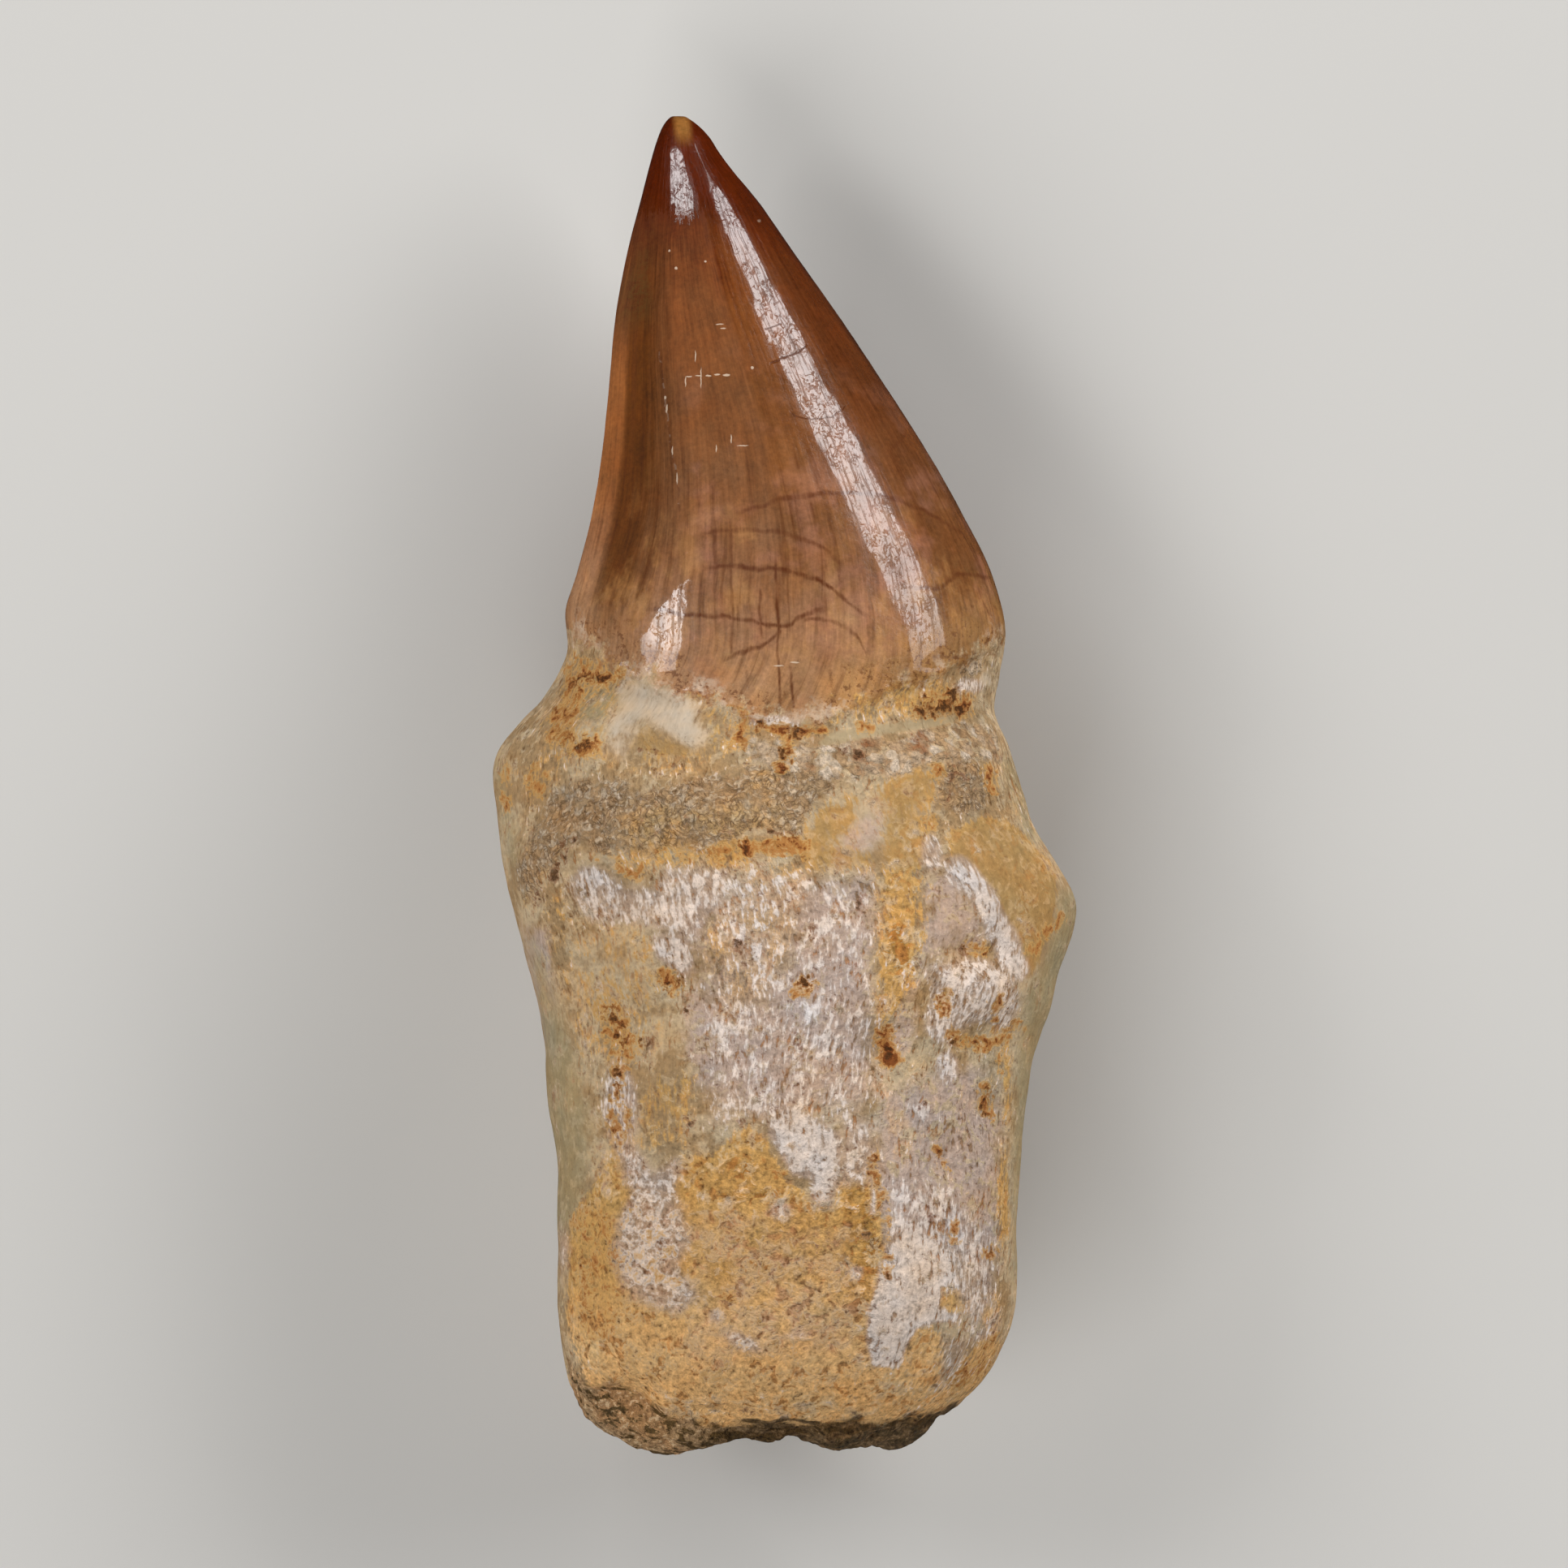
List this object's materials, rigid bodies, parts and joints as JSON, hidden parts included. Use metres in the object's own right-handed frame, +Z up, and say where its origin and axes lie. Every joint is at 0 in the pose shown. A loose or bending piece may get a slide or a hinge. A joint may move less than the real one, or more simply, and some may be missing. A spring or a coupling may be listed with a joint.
{
  "type": "fossil mosasaur tooth",
  "caption": "Fossil marine reptile tooth with its root: a pointed, fluted crown of amber-brown enamel on a thick, bulging, weathered bony root with a broken end.",
  "frame": {"origin": "middle of the tooth's outline, on the surface that it lies on", "axes": "+Y along the tooth from the root to the tip of the crown, +X to the right as the tooth is looked down on, +Z up, towards the pictured side"},
  "size_m": [0.0358, 0.0824, 0.0252],
  "materials": {
    "fossil_tooth": "Crown of glossy translucent amber-brown enamel with fine growth lines and hairline cracks; root of dry matte bone mottled in chalk white, cream, ochre and rust, with gritty matrix at the neck and the broken end."
  },
  "bodies": {
    "root": {"tooth": "fossil_tooth"}
  },
  "joints": []
}
